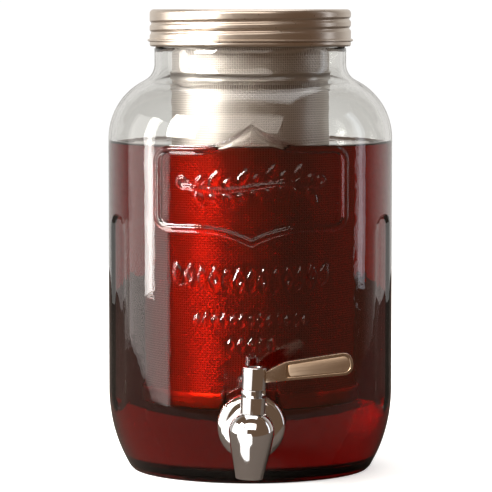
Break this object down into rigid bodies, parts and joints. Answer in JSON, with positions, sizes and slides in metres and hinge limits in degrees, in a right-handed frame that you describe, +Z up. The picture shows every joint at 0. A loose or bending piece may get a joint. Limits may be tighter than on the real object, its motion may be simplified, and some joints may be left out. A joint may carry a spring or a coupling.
{
  "type": "beverage dispenser",
  "caption": "Glass jar beverage dispenser with a screw lid, a hanging mesh infuser and a quarter-turn tap with a side lever.",
  "frame": {"origin": "bottom centre of the whole object's box, on the table; the jar's own axis stands at y = 0.0181", "axes": "+Z up along the jar's axis, -Y towards the tap (the front), +X to the right of someone facing the tap, where the lever points"},
  "size_m": [0.1586, 0.1948, 0.2563],
  "materials": {
    "jar_glass": "clear soda-lime glass with a faint grey-green tint",
    "clear_silicone": "translucent food-grade silicone",
    "seal_rubber": "white silicone",
    "infuser_steel": "satin stainless steel",
    "infuser_weave": "fine woven stainless wire",
    "lid_liner": "white foamed liner",
    "lid_tin": "satin tinplate",
    "tap_chrome": "polished chrome",
    "shank_brass": "nickel-plated brass",
    "washer_steel": "bright stainless steel",
    "stem_steel": "turned stainless steel",
    "lever_brushed": "brushed warm steel"
  },
  "bodies": {
    "jar": {"glass_jar": "jar_glass", "tap_outer_seal": "seal_rubber", "tap_escutcheon": "tap_chrome", "tap_body": "tap_chrome", "tap_shank": "shank_brass", "tap_inner_seal": "seal_rubber", "tap_washer": "washer_steel", "tap_lock_nut": "shank_brass", "tap_bonnet": "tap_chrome"},
    "infuser": {"infuser_gasket": "clear_silicone", "infuser_flange": "infuser_steel", "infuser_mesh": "infuser_weave", "infuser_band": "infuser_steel", "infuser_seam": "infuser_steel", "infuser_cup": "infuser_steel"},
    "liner": {"lid_liner": "lid_liner"},
    "lid": {"lid_shell": "lid_tin"},
    "lever": {"valve_stem": "stem_steel", "stem_ring_upper": "seal_rubber", "stem_ring_lower": "seal_rubber", "stem_clip": "stem_steel", "lever_handle": "tap_chrome", "lever_panel": "lever_brushed", "lever_screw": "stem_steel"}
  },
  "joints": [
    {"name": "infuser_lift", "type": "slide", "parent": "jar", "child": "infuser", "axis": [0, 0, 1], "range_m": [0, 0.22]},
    {"name": "lid_rise", "type": "slide", "parent": "infuser", "child": "liner", "axis": [0, 0, 1], "range_m": [0, 0.02286]},
    {"name": "lid_turn", "type": "hinge", "parent": "liner", "child": "lid", "pos_m": [0, 0.0181, 0.25], "axis": [0, 0, 1], "range_deg": [0, 1620]},
    {"name": "lever_turn", "type": "hinge", "parent": "jar", "child": "lever", "pos_m": [0, -0.08515, 0.033], "axis": [-0.0523, 0, -0.9986], "range_deg": [0, 90]}
  ],
  "couplings": [
    {"joint": "lid_rise", "follows": "lid_turn", "m_per_rad": 0.00080851}
  ]
}
